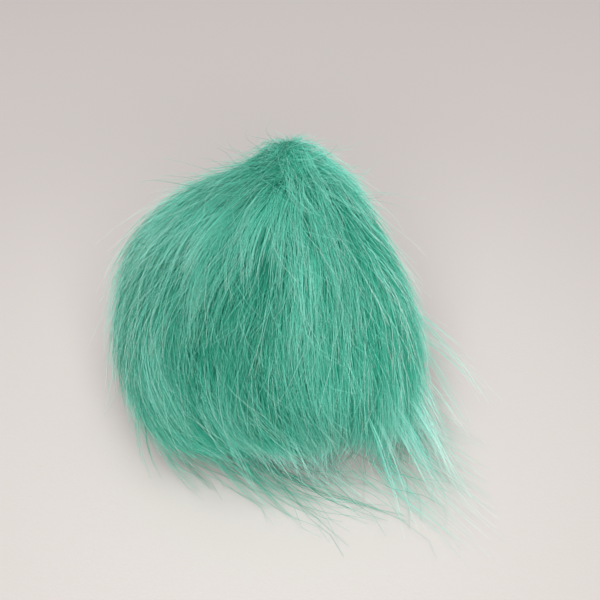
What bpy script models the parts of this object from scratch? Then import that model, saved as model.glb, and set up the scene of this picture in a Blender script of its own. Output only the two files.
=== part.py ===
"""A long-pile faux fur pom pom, sitting on a surface with its locks combed down from a crown.

Units are metres and +Z is up. The origin is the middle of the small flat spot that the ball
rests on. -Y is the front, and the crown leans back and a little to the right.
One solid holds the dense ball of pile and every lock that stands out of it. The locks stay
apart from each other but for their roots.
"""

import math
import random

import bmesh
import bpy
from mathutils import Vector
from mathutils.bvhtree import BVHTree

UP = Vector((0.0, 0.0, 1.0))

# The dense ball of pile, without its standing locks
BALL_CENTRE = Vector((0.0, 0.0, 0.0385))
BALL_RADIUS = 0.0435

# The crown, where the pile parts. The ball swells towards it and ends there in a soft peak.
CROWN = Vector((0.10, 0.52, 0.85)).normalized()
SWELL_HEIGHT = 0.0030
SWELL_SPREAD = math.radians(40)
PEAK_HEIGHT = 0.0115
PEAK_SPREAD = math.radians(13)

# Soft ridges that the combed pile makes, running down from the crown
RIDGES = 9
RIDGE_HEIGHT = 0.0008

# Near the crown the locks are shorter, and stand a little
CROWN_SPREAD = math.radians(20)
CROWN_SHORTER = 0.40
STAND_SPREAD = math.radians(12)
STAND_SHARE = 0.20

# Below the ball's middle the pile follows the ball down, is swept to the front and right,
# and stands out a little. The change comes between two heights, as shares of the radius.
SWEEP = Vector((0.60, -0.80, 0.0))
LOW_SWEEP = 0.55
LOW_FROM = 0.30
LOW_BY = -0.30

# How far the low pile stands out, by the side that it is on: an angle in degrees from the
# right, with the front at -90, the back at 90 and the left at 180
STANDS_OUT = (
    {"side": -180, "out": 0.30},
    {"side": -140, "out": 0.20},
    {"side": -100, "out": 0.04},
    {"side": -70, "out": 0.10},
    {"side": -40, "out": 0.46},
    {"side": 10, "out": 0.44},
    {"side": 60, "out": 0.24},
    {"side": 180, "out": 0.30},
)

# Where the pile meets the floor it runs out along it. The sides that face the sweep, as the
# cosine of the angle between them, follow the sweep and keep little of the way straight out.
FLOOR_FROM = 0.012
FLOOR_BY = 0.002
SWEPT_FROM = -1.00
SWEPT_BY = -0.35
OUT_LOST = 0.70

# Locks by the height of their roots, in degrees above the ball's middle. length is a
# lock's own length, splay what it gains on the front right, slope how much it rises off
# the ball for each metre of its length, lie how high it rests above the floor, and girth
# its share of the full width.
LOCK_ROWS = (
    {"root": -90, "length": 0.010, "splay": 0.000, "slope": 0.06, "lie": 0.0009, "girth": 0.60},
    {"root": -50, "length": 0.014, "splay": 0.006, "slope": 0.06, "lie": 0.0009, "girth": 0.60},
    {"root": -38, "length": 0.028, "splay": 0.016, "slope": 0.08, "lie": 0.0010, "girth": 0.65},
    {"root": -26, "length": 0.034, "splay": 0.022, "slope": 0.10, "lie": 0.0016, "girth": 0.80},
    {"root": -12, "length": 0.030, "splay": 0.018, "slope": 0.15, "lie": 0.0040, "girth": 1.00},
    {"root": 20, "length": 0.035, "splay": 0.006, "slope": 0.17, "lie": 0.0060, "girth": 1.00},
    {"root": 50, "length": 0.031, "splay": 0.000, "slope": 0.15, "lie": 0.0060, "girth": 1.00},
    {"root": 90, "length": 0.029, "splay": 0.000, "slope": 0.15, "lie": 0.0060, "girth": 1.00},
)
SPLAY_FROM = -0.40
SPLAY_BY = 0.60
LENGTH_SPREAD = 0.08
SEED = 7

# A lock's section: its share of the root's width and thickness along its length
LOCK_SECTIONS = (
    {"along": 0.13, "width": 0.82, "thick": 0.30},
    {"along": 0.36, "width": 0.66, "thick": 0.27},
    {"along": 0.60, "width": 0.50, "thick": 0.23},
    {"along": 0.82, "width": 0.28, "thick": 0.15},
)

# Every lock lifts off the ball at its root, within the first few millimetres of its length
FIRST_LIFT = 0.0017
LIFT_SETTLES = 0.0025
STEPS = 24

# Roots are the middle triangles of an even net of triangles over the ball. The corners that
# halving its edges adds lie a little inside the round net's own radius of 1.
NET_FINENESS = 3
ADDED_CORNER_RADIUS = 0.998
LEAST_ROOT_HEIGHT = 0.0035

# A lock that would touch another is drawn again, turned aside, lifted or shorter
TRIES = (
    {"turn": 0, "lift": 0.0000, "length": 1.00},
    {"turn": 5, "lift": 0.0000, "length": 1.00},
    {"turn": -5, "lift": 0.0000, "length": 1.00},
    {"turn": 0, "lift": 0.0008, "length": 0.95},
    {"turn": 8, "lift": 0.0005, "length": 0.95},
    {"turn": -8, "lift": 0.0005, "length": 0.95},
    {"turn": 0, "lift": 0.0015, "length": 0.85},
    {"turn": 10, "lift": 0.0010, "length": 0.80},
    {"turn": -10, "lift": 0.0010, "length": 0.80},
    {"turn": 0, "lift": 0.0008, "length": 0.65},
    {"turn": 6, "lift": 0.0004, "length": 0.50},
    {"turn": -6, "lift": 0.0004, "length": 0.50},
)
CLEARANCE = 0.00022
OFF_ROOT = 0.30

MINT = (0.075, 0.448, 0.322, 1.0)
ROUGHNESS = 0.6


def smooth_step(low, high, value):
    """0 at low, 1 at high, and a soft ramp between them."""
    share = min(1.0, max(0.0, (value - low) / (high - low)))
    return share * share * (3.0 - 2.0 * share)


def bump(value, spread):
    """1 at 0, and a soft fall to nothing over a few times the spread."""
    return math.exp(-((value / spread) ** 2))


def table_value(table, by, name, at):
    """A column of a table that rises by another column, read between its rows."""
    for below, above in zip(table, table[1:]):
        if at <= above[by]:
            share = (at - below[by]) / (above[by] - below[by])
            return below[name] + share * (above[name] - below[name])
    return table[-1][name]


def ball_reach(way):
    """How far the dense ball reaches from its middle along a unit vector."""
    off_crown = CROWN.angle(way)
    swell = SWELL_HEIGHT * bump(off_crown, SWELL_SPREAD)
    peak = PEAK_HEIGHT * bump(off_crown, PEAK_SPREAD)
    side = CROWN.cross(UP).normalized()
    turned = math.atan2(way.dot(side.cross(CROWN)), way.dot(side))
    ridge = RIDGE_HEIGHT * math.sin(RIDGES * turned) * math.sin(off_crown) ** 2
    return BALL_RADIUS + swell + peak + ridge


def combed(point):
    """The unit direction in which the pile runs at a point on or outside the ball."""
    way = (point - BALL_CENTRE).normalized()
    from_crown = (CROWN.dot(way) * way - CROWN).normalized()
    standing = STAND_SHARE * bump(CROWN.angle(way), STAND_SPREAD)
    run = (1.0 - standing) * from_crown + standing * way
    outward = Vector((way.x, way.y, 0.0)).normalized()
    down = (way.z * way - UP).normalized()
    across = SWEEP - SWEEP.dot(outward) * outward
    side = math.degrees(math.atan2(way.y, way.x))
    out = table_value(STANDS_OUT, "side", "out", side)
    low = (down + LOW_SWEEP * across + out * outward).normalized()
    is_low = smooth_step(LOW_FROM, LOW_BY, way.z)
    run = (1.0 - is_low) * run + is_low * low
    share = smooth_step(SWEPT_FROM, SWEPT_BY, outward.dot(SWEEP))
    swept = (1.0 - OUT_LOST * share) * outward + share * SWEEP
    on_floor = smooth_step(FLOOR_FROM, FLOOR_BY, point.z)
    run = (1.0 - on_floor) * run + on_floor * swept
    return run.normalized()


def lock_line(root, length, slope, lie, attempt):
    """Points down the middle of a lock, from its root on the ball to its tip."""
    step = length * attempt["length"] / STEPS
    turn = math.radians(attempt["turn"])
    line = [root.copy()]
    point = root.copy()
    for i in range(1, STEPS + 1):
        run = combed(point)
        aside = (point - BALL_CENTRE).cross(run).normalized()
        point = point + step * (run * math.cos(turn) + aside * math.sin(turn))
        settled = 1.0 - math.exp(-i * step / LIFT_SETTLES)
        lifted = (FIRST_LIFT + attempt["lift"]) * settled + slope * i * step
        way = (point - BALL_CENTRE).normalized()
        least = ball_reach(way) + lifted
        if (point - BALL_CENTRE).length < least:
            point = BALL_CENTRE + way * least
        point.z = max(point.z, lie)
        line.append(point.copy())
    return line


def point_along(line, share):
    """The point and direction at a share of a line's length."""
    place = share * (len(line) - 1)
    i = min(int(place), len(line) - 2)
    return line[i].lerp(line[i + 1], place - i), (line[i + 1] - line[i]).normalized()


def lock_rings(root_corners, normal, line, girth):
    """The corners of each section of a lock, carried over from the corners of its root."""
    middle = sum(root_corners, Vector()) / len(root_corners)
    start = combed(middle)
    along = (start - start.dot(normal) * normal).normalized()
    side = along.cross(normal)
    across = side
    rings = []
    for section in LOCK_SECTIONS:
        centre, run = point_along(line, section["along"])
        across = (across - across.dot(run) * run).normalized()
        up = across.cross(run)
        ring = []
        for corner in root_corners:
            offset = corner - middle
            sideways = girth * section["width"] * offset.dot(side)
            upward = -girth * section["thick"] * offset.dot(along)
            ring.append(centre + sideways * across + upward * up)
        sunk = max(0.0, -min(place.z for place in ring))
        rings.append([place + sunk * UP for place in ring])
    return rings


def rings_in_order(rings, line):
    """Whether a lock bends so gently that none of its sections cuts through the next."""
    runs = [point_along(line, section["along"])[1] for section in LOCK_SECTIONS]
    for below, above, before, after in zip(rings, rings[1:], runs, runs[1:]):
        for low in below:
            for high in above:
                if (high - low).dot(before) <= 0.0 or (high - low).dot(after) <= 0.0:
                    return False
    return True


def skin_faces(corners, sections):
    """Triangles round a lock as places in its points: section by section, then the tip."""
    faces = []
    for section in range(sections):
        for i in range(corners):
            here = section * corners + i
            beside = section * corners + (i + 1) % corners
            if section == sections - 1:
                faces.append((here, beside, sections * corners))
            else:
                faces.append((here, beside, beside + corners))
                faces.append((here, beside + corners, here + corners))
    return faces


def swollen(ring):
    """A ring of corners moved out from its middle by the clearance."""
    middle = sum(ring, Vector()) / len(ring)
    return [place + CLEARANCE * (place - middle).normalized() for place in ring]


def lock_tree(root_corners, rings, tip):
    """A search tree of a lock's skin with the clearance round it, from just off its root."""
    near_root = [
        corner.lerp(place, OFF_ROOT) for corner, place in zip(root_corners, rings[0])
    ]
    sections = [near_root] + [swollen(ring) for ring in rings]
    points = [place for section in sections for place in section] + [tip]
    return BVHTree.FromPolygons(points, skin_faces(len(near_root), len(sections)))


def ball_mesh():
    """The ball as a bmesh, with the faces that locks grow from, lowest first."""
    mesh = bmesh.new()
    bmesh.ops.create_icosphere(mesh, subdivisions=NET_FINENESS, radius=1.0)
    bmesh.ops.subdivide_edges(mesh, edges=mesh.edges[:], cuts=1, use_grid_fill=True)
    added = {vert for vert in mesh.verts if vert.co.length < ADDED_CORNER_RADIUS}
    roots = [face for face in mesh.faces if added.issuperset(face.verts)]
    to_crown = UP.rotation_difference(CROWN)
    for vert in mesh.verts:
        way = to_crown @ vert.co.normalized()
        vert.co = BALL_CENTRE + way * ball_reach(way)
        vert.co.z = max(vert.co.z, 0.0)
    mesh.normal_update()
    high = [face for face in roots if face.calc_center_median().z > LEAST_ROOT_HEIGHT]
    return mesh, sorted(high, key=lambda face: round(face.calc_center_median().z, 5))


def fitted_lock(face, spread, ball_tree, placed):
    """The rings and tip of the first try of a lock that stays clear, or None."""
    root = face.calc_center_median()
    corners = [vert.co.copy() for vert in face.verts]
    way = (root - BALL_CENTRE).normalized()
    root_angle = math.degrees(math.asin(way.z))
    row = {name: table_value(LOCK_ROWS, "root", name, root_angle) for name in LOCK_ROWS[0]}
    outward = Vector((way.x, way.y, 0.0)).normalized()
    splay = row["splay"] * smooth_step(SPLAY_FROM, SPLAY_BY, outward.dot(SWEEP))
    near_crown = CROWN_SHORTER * bump(CROWN.angle(way), CROWN_SPREAD)
    length = spread * (row["length"] + splay) * (1.0 - near_crown)
    for attempt in TRIES:
        line = lock_line(root, length, row["slope"], row["lie"], attempt)
        rings = lock_rings(corners, face.normal, line, row["girth"])
        tree = lock_tree(corners, rings, line[-1])
        if ball_tree.overlap(tree) or not rings_in_order(rings, line):
            continue
        if not any(tree.overlap(other) for other in placed):
            placed.append(tree)
            return rings, line[-1]
    return None


def draw_out(mesh, face, rings, tip):
    """Replaces a root face with the skin of its lock."""
    verts = list(face.verts)
    corners = len(verts)
    mesh.faces.remove(face)
    verts += [mesh.verts.new(place) for ring in rings for place in ring]
    verts.append(mesh.verts.new(tip))
    for corner_places in skin_faces(corners, len(rings) + 1):
        mesh.faces.new([verts[i] for i in corner_places])


def grow_locks(mesh, roots):
    """Draws the root faces out into tapering locks with pointed tips."""
    dice = random.Random(SEED)
    ball_tree = BVHTree.FromBMesh(mesh)
    placed, plans = [], []
    for face in roots:
        spread = 1.0 + LENGTH_SPREAD * dice.uniform(-1.0, 1.0)
        plan = fitted_lock(face, spread, ball_tree, placed)
        if plan:
            plans.append((face, *plan))
    for face, rings, tip in plans:
        draw_out(mesh, face, rings, tip)
    print(f"{len(plans)} locks from {len(roots)} roots")


def fur_material():
    """Mint green pile with the soft shine of synthetic fibre."""
    material = bpy.data.materials.new("mint_fur")
    material.use_nodes = True
    shader = material.node_tree.nodes["Principled BSDF"]
    shader.inputs["Base Color"].default_value = MINT
    shader.inputs["Roughness"].default_value = ROUGHNESS
    shader.inputs["Metallic"].default_value = 0.0
    return material


def make_pom_pom():
    """The pom pom as one object: the ball of pile and its locks."""
    mesh, roots = ball_mesh()
    grow_locks(mesh, roots)
    bmesh.ops.recalc_face_normals(mesh, faces=mesh.faces[:])
    data = bpy.data.meshes.new("fur_pom_pom")
    mesh.to_mesh(data)
    mesh.free()
    data.materials.append(fur_material())
    pom_pom = bpy.data.objects.new("fur_pom_pom", data)
    bpy.context.scene.collection.objects.link(pom_pom)


for old in list(bpy.data.objects):
    bpy.data.objects.remove(old, do_unlink=True)
make_pom_pom()
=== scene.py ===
"""Looks of a long-pile faux fur pom pom: its dense undercoat, its combed pile fibre by fibre,
the tufts that lie on the table, the stray fibres, and the table, light and camera.

Units are metres and +Z is up. The shape of the ball and the way its pile is combed stay close to
those of the solid, so the fibres lie where the solid has its locks.
"""

import logging
import math
from dataclasses import dataclass, field, replace
from enum import Enum

import bmesh
import bpy
import numpy as np
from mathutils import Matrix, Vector


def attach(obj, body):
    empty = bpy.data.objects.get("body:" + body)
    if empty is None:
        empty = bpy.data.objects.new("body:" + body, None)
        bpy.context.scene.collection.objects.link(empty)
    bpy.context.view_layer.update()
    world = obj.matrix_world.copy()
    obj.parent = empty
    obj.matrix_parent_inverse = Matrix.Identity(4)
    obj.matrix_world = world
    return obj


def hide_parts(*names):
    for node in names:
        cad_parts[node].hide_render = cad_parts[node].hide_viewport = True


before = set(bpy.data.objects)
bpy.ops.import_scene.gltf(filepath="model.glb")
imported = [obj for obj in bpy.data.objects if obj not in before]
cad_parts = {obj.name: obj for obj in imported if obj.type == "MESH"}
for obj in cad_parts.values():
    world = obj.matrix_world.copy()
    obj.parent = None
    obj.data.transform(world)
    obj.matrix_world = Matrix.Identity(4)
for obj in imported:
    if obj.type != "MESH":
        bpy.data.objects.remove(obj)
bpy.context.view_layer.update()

LOG = logging.getLogger("pom_pom")
SOLID = "fur_pom_pom"
BODY = "root"
SEED = 11
TONE_BINS = 64
UNCUT_POINTS = 4
SHOWN_POINT = 13

Colour = tuple[float, float, float]


def unit(vectors: np.ndarray) -> np.ndarray:
    """Vectors scaled to a length of one.

    Args:
        vectors: An array whose last axis holds x, y and z.

    Returns:
        An array of the same shape.
    """
    lengths = np.linalg.norm(vectors, axis=-1, keepdims=True)
    return vectors / np.maximum(lengths, 1e-12)


def smooth_step(low: float, high: float, values: np.ndarray) -> np.ndarray:
    """A soft ramp from 0 at low to 1 at high.

    Args:
        low: Where the ramp starts.
        high: Where the ramp ends. It may lie below low.
        values: The values to read on the ramp.

    Returns:
        The ramp at each value.
    """
    share = np.clip((values - low) / (high - low), 0.0, 1.0)
    return share * share * (3.0 - 2.0 * share)


def sides_of(ways: np.ndarray) -> np.ndarray:
    """The side that each vector points to, in degrees round the upright axis from +X."""
    return np.degrees(np.arctan2(ways[:, 1], ways[:, 0]))


def dots(one: np.ndarray, other: np.ndarray) -> np.ndarray:
    """The dot products of two lists of vectors, kept as a column."""
    return np.sum(one * other, axis=-1, keepdims=True)


class Side(Enum):
    """The part of the pom pom that a lock of pile grows on."""

    CROWN = "crown"
    LEFT = "left"
    FRONT = "front"
    RIGHT = "right"
    BACK = "back"


SIDE_LIMITS = {Side.FRONT: (-135, -62), Side.RIGHT: (-62, 15), Side.BACK: (15, 130)}
CROWN_LIMIT = math.radians(36)


@dataclass(frozen=True)
class LockRow:
    """Locks whose roots are at one height: root in degrees above the ball's middle, length,
    splay gained on the swept side, slope off the ball, and lie above the table."""

    root: float
    length: float
    splay: float
    slope: float
    lie: float


@dataclass(frozen=True)
class Fullness:
    """A soft swelling of the pile, or a hollow in it: its way from the ball's middle, how
    wide it is in degrees, how much it adds in metres, and the painted light on its pile,
    a painted shade where it is below zero."""

    way: Colour
    spread: float
    height: float
    brighter: float = 0.0

    def share(self, ways: np.ndarray) -> np.ndarray:
        """How strongly it acts towards each unit vector, up to 1."""
        away = np.arccos(np.clip(ways @ unit(np.array(self.way)), -1.0, 1.0))
        return np.exp(-((away / math.radians(self.spread)) ** 2))


@dataclass(frozen=True)
class PileField:
    """The dense ball of pile, and the way in which its fibres are combed round it."""

    centre: Colour = (0.0, 0.0, 0.0385)
    radius: float = 0.0435
    crown: Colour = (0.10, 0.52, 0.85)
    swell: float = 0.0030
    swell_spread: float = math.radians(40)
    peak: float = 0.0118
    peak_spread: float = math.radians(12)
    ridges: int = 9
    ridge_height: float = 0.0008
    # Painted light on the upper pile and painted shade on the lower pile, zero at a set height.
    brighter_above: float = 0.30
    brighter_from: float = 0.50
    crown_spread: float = math.radians(20)
    crown_shorter: float = 0.25
    stand_spread: float = math.radians(12)
    stand_share: float = 0.10
    collar: float = 0.0024
    collar_at: float = math.radians(24)
    collar_spread: float = math.radians(13)
    fullness: tuple[Fullness, ...] = (
        Fullness((-0.777, 0.405, 0.482), 28, 0.0020),
        Fullness((0.906, 0.272, 0.324), 30, -0.0052),
        Fullness((0.960, -0.180, -0.210), 22, -0.0022),
        Fullness((0.36, 0.50, 0.79), 14, 0.0030),
        Fullness((-0.28, 0.52, 0.80), 16, -0.0030),
        Fullness((-0.25, -0.60, -0.75), 28, -0.0062),
        Fullness((0.34, -0.58, -0.74), 24, -0.0016),
        Fullness((-0.66, -0.56, -0.50), 20, 0.0036),
        Fullness((-0.20, -0.86, -0.46), 12, -0.0048),
        # From here the fourth value paints the pile's tone: painted shade in hollows and on the
        # sides, painted highlights on the upper front, a little painted light on the crown.
        Fullness((-0.28, -0.92, 0.27), 14, -0.0030, -0.60),
        Fullness((-0.10, -0.64, 0.76), 9, -0.0014, -0.20),
        Fullness((-0.80, -0.52, 0.30), 15, 0.0, -0.36),
        Fullness((0.54, -0.72, 0.43), 10, -0.0012, -0.22),
        Fullness((0.12, -0.97, 0.18), 14, 0.0, -0.30),
        Fullness((-0.30, -0.50, 0.80), 10, 0.0010, 0.14),
        Fullness((0.22, -0.42, 0.88), 10, 0.0010, 0.14),
        Fullness((0.00, -0.28, 0.96), 15, 0.0, 0.24),
        Fullness((0.05, -0.62, 0.78), 13, 0.0, 0.12),
        Fullness((-0.62, -0.10, 0.78), 16, 0.0, -0.14),
        Fullness((0.52, -0.30, 0.80), 17, 0.0, -0.38),
        Fullness((0.84, -0.40, 0.36), 20, 0.0, -0.30),
        Fullness((-0.60, -0.76, -0.10), 9, 0.0, 0.06),
        Fullness((0.10, 0.52, 0.85), 18, 0.0, 0.08),
    )
    sweep: Colour = (0.60, -0.80, 0.0)
    low_sweep: float = 1.20
    low_from: float = 0.60
    low_by: float = -0.15
    out_sides: tuple[float, ...] = (-180, -140, -100, -70, -40, 10, 60, 180)
    out_shares: tuple[float, ...] = (0.34, 0.42, 0.10, 0.10, 0.46, 0.44, 0.24, 0.34)
    floor_from: float = 0.012
    floor_by: float = 0.002
    swept_from: float = -1.00
    swept_by: float = -0.35
    out_lost: float = 0.70
    splay_from: float = -0.40
    splay_by: float = 0.60
    first_lift: float = 0.0017
    lift_settles: float = 0.0025
    look_ahead: float = 0.02
    rows: tuple[LockRow, ...] = (
        LockRow(-90, 0.010, 0.000, 0.06, 0.0009),
        LockRow(-50, 0.014, 0.006, 0.06, 0.0009),
        LockRow(-38, 0.028, 0.016, 0.08, 0.0010),
        LockRow(-26, 0.034, 0.022, 0.10, 0.0016),
        LockRow(-12, 0.030, 0.018, 0.15, 0.0040),
        LockRow(20, 0.035, 0.006, 0.17, 0.0060),
        LockRow(50, 0.031, 0.000, 0.15, 0.0060),
        LockRow(90, 0.029, 0.000, 0.15, 0.0060),
    )

    def crown_way(self) -> np.ndarray:
        """The unit vector from the ball's middle to its crown."""
        return unit(np.array(self.crown))

    def off_crown(self, ways: np.ndarray) -> np.ndarray:
        """The angle between each unit vector and the crown, in radians."""
        return np.arccos(np.clip(ways @ self.crown_way(), -1.0, 1.0))

    def turned(self, ways: np.ndarray) -> np.ndarray:
        """The angle of each unit vector round the crown, in radians."""
        crown = self.crown_way()
        side = unit(np.cross(crown, (0.0, 0.0, 1.0)))
        return np.arctan2(ways @ np.cross(side, crown), ways @ side)

    def reach(self, ways: np.ndarray) -> np.ndarray:
        """How far the dense ball reaches from its middle.

        Args:
            ways: Unit vectors from the ball's middle.

        Returns:
            The reach along each of them, in metres.
        """
        off = self.off_crown(ways)
        swell = self.swell * np.exp(-((off / self.swell_spread) ** 2))
        peak = self.peak * np.exp(-((off / self.peak_spread) ** 2))
        ridge = self.ridge_height * np.sin(self.ridges * self.turned(ways))
        collar = self.collar * np.exp(-(((off - self.collar_at) / self.collar_spread) ** 2))
        full = np.zeros(len(ways))
        for one in self.fullness:
            full += one.height * one.share(ways)
        return self.radius + swell + peak + collar + full + ridge * np.sin(off) ** 2

    def brighter(self, ways: np.ndarray) -> np.ndarray:
        """The painted light on the pile's tone towards each unit vector, below zero a painted
        shade: it grows with height, and the fullness list adds its own.
        """
        more = self.brighter_above * (ways[:, 2] - self.brighter_from)
        for one in self.fullness:
            more += one.brighter * one.share(ways)
        return more

    def combed(self, points: np.ndarray) -> np.ndarray:
        """The unit directions in which the pile runs.

        Args:
            points: Points on or outside the ball, one a row.

        Returns:
            A unit vector for each point.
        """
        crown, sweep = self.crown_way(), np.array(self.sweep)
        up = np.array((0.0, 0.0, 1.0))
        ways = unit(points - np.array(self.centre))
        from_crown = unit((ways @ crown)[:, None] * ways - crown)
        standing = self.stand_share * np.exp(-((self.off_crown(ways) / self.stand_spread) ** 2))
        run = (1.0 - standing)[:, None] * from_crown + standing[:, None] * ways
        outward = unit(ways * (1.0, 1.0, 0.0))
        down = unit(ways[:, 2:] * ways - up)
        across = sweep - dots(outward, sweep) * outward
        out = np.interp(sides_of(ways), self.out_sides, self.out_shares)[:, None]
        low = unit(down + self.low_sweep * across + out * outward)
        is_low = smooth_step(self.low_from, self.low_by, ways[:, 2:])
        run = unit((1.0 - is_low) * run + is_low * low)
        ahead = unit(ways + self.look_ahead * run)
        fall = (self.reach(ahead) - self.reach(ways)) / (self.look_ahead * self.radius)
        run = unit(run + fall[:, None] * ways)
        share = smooth_step(self.swept_from, self.swept_by, dots(outward, sweep))
        swept = (1.0 - self.out_lost * share) * outward + share * sweep
        on_floor = smooth_step(self.floor_from, self.floor_by, points[:, 2:])
        return unit((1.0 - on_floor) * run + on_floor * swept)

    def row_values(self, ways: np.ndarray, name: str) -> np.ndarray:
        """A column of the rows, read at the height of each unit vector.

        Args:
            ways: Unit vectors from the ball's middle to the roots.
            name: The column's name.

        Returns:
            The column's value for each root.
        """
        heights = np.degrees(np.arcsin(np.clip(ways[:, 2], -1.0, 1.0)))
        table = [(row.root, getattr(row, name)) for row in self.rows]
        return np.interp(heights, *zip(*table, strict=True))

    def lengths(self, ways: np.ndarray) -> np.ndarray:
        """The full length of a lock that grows at each root.

        Args:
            ways: Unit vectors from the ball's middle to the roots.

        Returns:
            The lengths, in metres.
        """
        outward = unit(ways * (1.0, 1.0, 0.0))
        splay = smooth_step(self.splay_from, self.splay_by, outward @ np.array(self.sweep))
        full = self.row_values(ways, "length") + splay * self.row_values(ways, "splay")
        near = np.exp(-((self.off_crown(ways) / self.crown_spread) ** 2))
        return full * (1.0 - self.crown_shorter * near)


@dataclass
class LockPlan:
    """Roots of a set of locks and how each of them grows.

    ways holds the unit vectors to the roots, and the other arrays hold one value a lock: its
    length, its slope off the ball, its first turn and its curl in radians, how high it lies on
    the table, its extra lift and its tone from 0, dull, to 1, bright.
    """

    ways: np.ndarray
    length: np.ndarray
    slope: np.ndarray
    turn: np.ndarray
    curl: np.ndarray
    lie: np.ndarray
    lift: np.ndarray
    tone: np.ndarray

    def part(self, chosen: np.ndarray) -> "LockPlan":
        """The plan of some of the locks, picked by place or by a test for each."""
        return LockPlan(*(getattr(self, name)[chosen] for name in self.__dataclass_fields__))


@dataclass(frozen=True)
class LockComb:
    """Grows the lines of locks through the pile field, step by step."""

    pile: PileField
    steps: int = 20
    sunk: float = 0.0010
    room_low: Colour = (-0.063, -0.076, -0.001)
    room_high: Colour = (0.0760, 0.066, 0.103)

    def lines(self, plan: LockPlan) -> np.ndarray:
        """The middle lines of locks.

        Args:
            plan: The roots and how each lock grows.

        Returns:
            An array of lock, point and coordinate.
        """
        centre = np.array(self.pile.centre)
        points = centre + plan.ways * (self.pile.reach(plan.ways) - self.sunk)[:, None]
        step = (plan.length / self.steps)[:, None]
        line = [points]
        for i in range(1, self.steps + 1):
            run = self.pile.combed(points)
            aside = unit(np.cross(points - centre, run))
            turn = (plan.turn + plan.curl * i / self.steps)[:, None]
            points = points + step * (run * np.cos(turn) + aside * np.sin(turn))
            gone = i * step[:, 0]
            settled = 1.0 - np.exp(-gone / self.pile.lift_settles)
            lifted = (self.pile.first_lift + plan.lift) * settled + plan.slope * gone
            ways = unit(points - centre)
            least = self.pile.reach(ways) + lifted - self.sunk * (1.0 - settled)
            apart = np.maximum(np.linalg.norm(points - centre, axis=1), least)
            points = centre + ways * apart[:, None]
            points[:, 2] = np.maximum(points[:, 2], plan.lie)
            line.append(points)
        return np.stack(line, axis=1)

    def within(self, plan: LockPlan) -> LockPlan:
        """The plan of the locks that stay inside the room that the fur may fill."""
        lines = self.lines(plan)
        inside = (lines > np.array(self.room_low)) & (lines < np.array(self.room_high))
        return plan.part(inside.all(axis=(1, 2)))

    @staticmethod
    def hemmed(lines: np.ndarray, hems: np.ndarray) -> np.ndarray:
        """Lines cut off where they come down to their hem, but not close to their roots.

        Args:
            lines: The locks' middle lines.
            hems: The height of each lock's hem.

        Returns:
            The cut lines, with as many points as before.
        """
        last = lines.shape[1] - 1
        low = lines[:, :, 2] < hems[:, None]
        low[:, :UNCUT_POINTS] = False
        ends = np.where(low.any(axis=1), low.argmax(axis=1), last)
        places = ends[:, None] * np.linspace(0.0, 1.0, last + 1)
        below = np.minimum(places.astype(int), last - 1)
        share = (places - below)[:, :, None]
        locks = np.arange(len(lines))[:, None]
        return (1.0 - share) * lines[locks, below] + share * lines[locks, below + 1]

    def lock_mesh(self, lines: np.ndarray, tones: np.ndarray, name: str) -> bpy.types.Mesh:
        """Locks as strings of edges, each point with the ways across and off its lock.

        Args:
            lines: The locks' middle lines.
            tones: The tone of each lock.
            name: The mesh's name.

        Returns:
            A mesh of edges with the attributes that the fibre tree reads.
        """
        locks, points = lines.shape[:2]
        centre = np.array(self.pile.centre)
        runs = unit(np.gradient(lines, axis=1))
        off = unit(lines - centre)
        on_floor = smooth_step(self.pile.floor_from, 0.0, lines[:, :, 2:])
        off = unit((1.0 - on_floor) * off + on_floor * np.array((0.0, 0.0, 1.0)))
        off = unit(off - dots(off, runs) * runs)
        aside = np.cross(runs, off)
        places = np.arange(locks * points).reshape(locks, points)
        edges = np.stack([places[:, :-1], places[:, 1:]], axis=-1).reshape(-1, 2)
        mesh = bpy.data.meshes.new(name)
        mesh.from_pydata(lines.reshape(-1, 3), edges, [])
        for key, values in (("lock_side", aside), ("lock_off", off)):
            column = mesh.attributes.new(key, "FLOAT_VECTOR", "POINT")
            column.data.foreach_set("vector", values.astype(np.float32).ravel())
        column = mesh.attributes.new("lock_tone", "FLOAT", "POINT")
        column.data.foreach_set("value", np.repeat(tones, points).astype(np.float32))
        return mesh


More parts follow.
